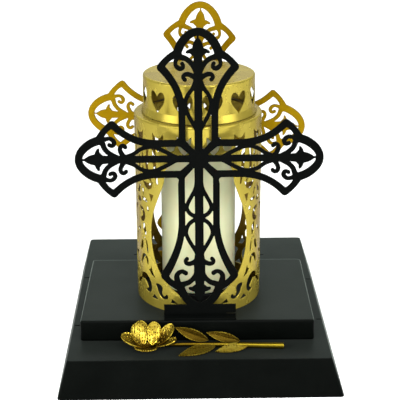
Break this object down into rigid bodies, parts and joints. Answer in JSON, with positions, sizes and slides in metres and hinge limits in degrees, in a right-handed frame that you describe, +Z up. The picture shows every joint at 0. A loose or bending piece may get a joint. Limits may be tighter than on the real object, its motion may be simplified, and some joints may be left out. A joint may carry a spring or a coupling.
{
  "type": "grave cross light",
  "caption": "Stepped black base with a pierced gold lantern round a candle, a cut-sheet cross before and behind it, and a loose gold rose.",
  "frame": {"origin": "on the ground under the middle of the base", "axes": "+X to the right of the front cross as seen from in front, +Y from the front cross to the rear one, +Z up"},
  "size_m": [0.2, 0.2364, 0.252],
  "materials": {
    "base_black": "satin black powder coat",
    "cross_black": "matte black",
    "cross_gold": "satin gold",
    "lantern_gold": "polished pale gold",
    "seat_black": "matte black",
    "candle_ivory": "waxy ivory",
    "rose_gold": "hammered bright gold"
  },
  "bodies": {
    "root": {"base_tray": "base_black", "upper_step": "base_black", "front_cross": "cross_black", "back_cross": "cross_gold", "lantern_body": "lantern_gold", "lantern_cap": "lantern_gold", "candle_seat": "seat_black", "candle": "candle_ivory", "rose_flower": "rose_gold", "rose_stem": "rose_gold", "rose_leaf_1": "rose_gold", "rose_leaf_2": "rose_gold", "rose_leaf_3": "rose_gold", "rose_leaf_4": "rose_gold"}
  },
  "joints": []
}
